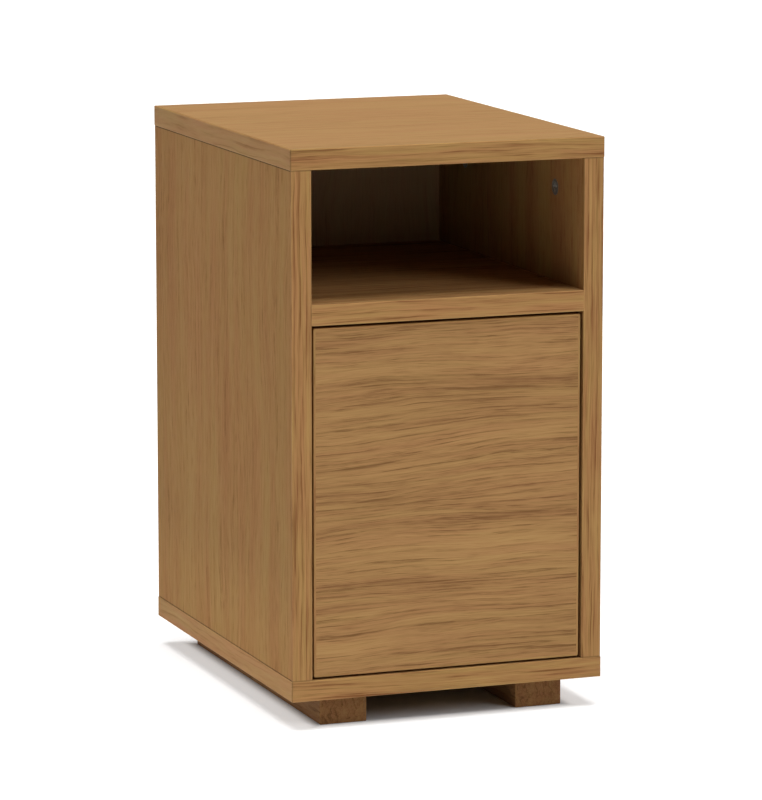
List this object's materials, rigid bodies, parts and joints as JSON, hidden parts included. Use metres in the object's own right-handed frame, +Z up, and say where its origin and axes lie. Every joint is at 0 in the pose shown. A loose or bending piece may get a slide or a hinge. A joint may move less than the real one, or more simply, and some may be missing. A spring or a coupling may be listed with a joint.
{
  "type": "bedside cabinet",
  "caption": "Oak-veneered bedside cabinet with an open niche under the top, a side-hung push-open door on concealed hinges and two runners to stand on.",
  "frame": {"origin": "on the floor under the centre of the top panel", "axes": "+Z up, the door faces -Y, +X to the right of someone facing the door; the door's hinges are on the -X side"},
  "size_m": [0.3, 0.392, 0.525],
  "materials": {
    "oak_veneer": "clear matt lacquer, fine straight grain",
    "oak_edging": "clear matt lacquer",
    "oak_solid": "clear matt lacquer, end grain at the front",
    "back_board": "dark oak veneer",
    "beech": "fluted dowel, unfinished",
    "nickel_plate": "nickel plated",
    "cam_metal": "bare zinc casting",
    "screw_zinc": "bright zinc plated",
    "spring_steel": "drawn wire",
    "latch_grey": "fine moulded grain",
    "magnet": "ground magnet face"
  },
  "bodies": {
    "cabinet": {"back_panel": "back_board", "bottom_cam_bolts": "screw_zinc", "bottom_cam_locks": "cam_metal", "bottom_dowels": "beech", "bottom_edging": "oak_edging", "bottom_panel": "oak_veneer", "fixed_shelf": "oak_veneer", "hinge_adjusting_screws": "screw_zinc", "hinge_plate_screws": "screw_zinc", "latch_housing": "latch_grey", "latch_screws": "screw_zinc", "latch_spring": "spring_steel", "left_runner": "oak_solid", "left_side_edging": "oak_edging", "left_side_panel": "oak_veneer", "lower_hinge_arm": "nickel_plate", "lower_hinge_plate": "nickel_plate", "right_runner": "oak_solid", "right_side_edging": "oak_edging", "right_side_panel": "oak_veneer", "runner_screws": "screw_zinc", "shelf_cam_bolts": "screw_zinc", "shelf_cam_locks": "cam_metal", "shelf_dowels": "beech", "shelf_edging": "oak_edging", "top_cam_bolts": "screw_zinc", "top_cam_locks": "cam_metal", "top_dowels": "beech", "top_edging": "oak_edging", "top_panel": "oak_veneer", "upper_hinge_arm": "nickel_plate", "upper_hinge_plate": "nickel_plate"},
    "door": {"door_panel": "oak_veneer", "door_edging": "oak_edging", "upper_hinge_cup": "nickel_plate", "lower_hinge_cup": "nickel_plate", "upper_hinge_pin": "screw_zinc", "lower_hinge_pin": "screw_zinc", "hinge_cup_screws": "screw_zinc", "strike_plate": "nickel_plate", "strike_plate_screw": "screw_zinc"},
    "latch_pusher": {"latch_plunger": "latch_grey", "latch_magnet": "magnet"}
  },
  "joints": [
    {"name": "door_swing", "type": "hinge", "parent": "cabinet", "child": "door", "pos_m": [-0.096, -0.184, 0.2], "axis": [0, 0, -1], "range_deg": [0, 95]},
    {"name": "latch_push", "type": "slide", "parent": "cabinet", "child": "latch_pusher", "axis": [0, -1, 0], "range_m": [0, 0.01]}
  ],
  "couplings": [
    {"joint": "latch_push", "follows": "door_swing", "m_per_rad": 0.006}
  ]
}
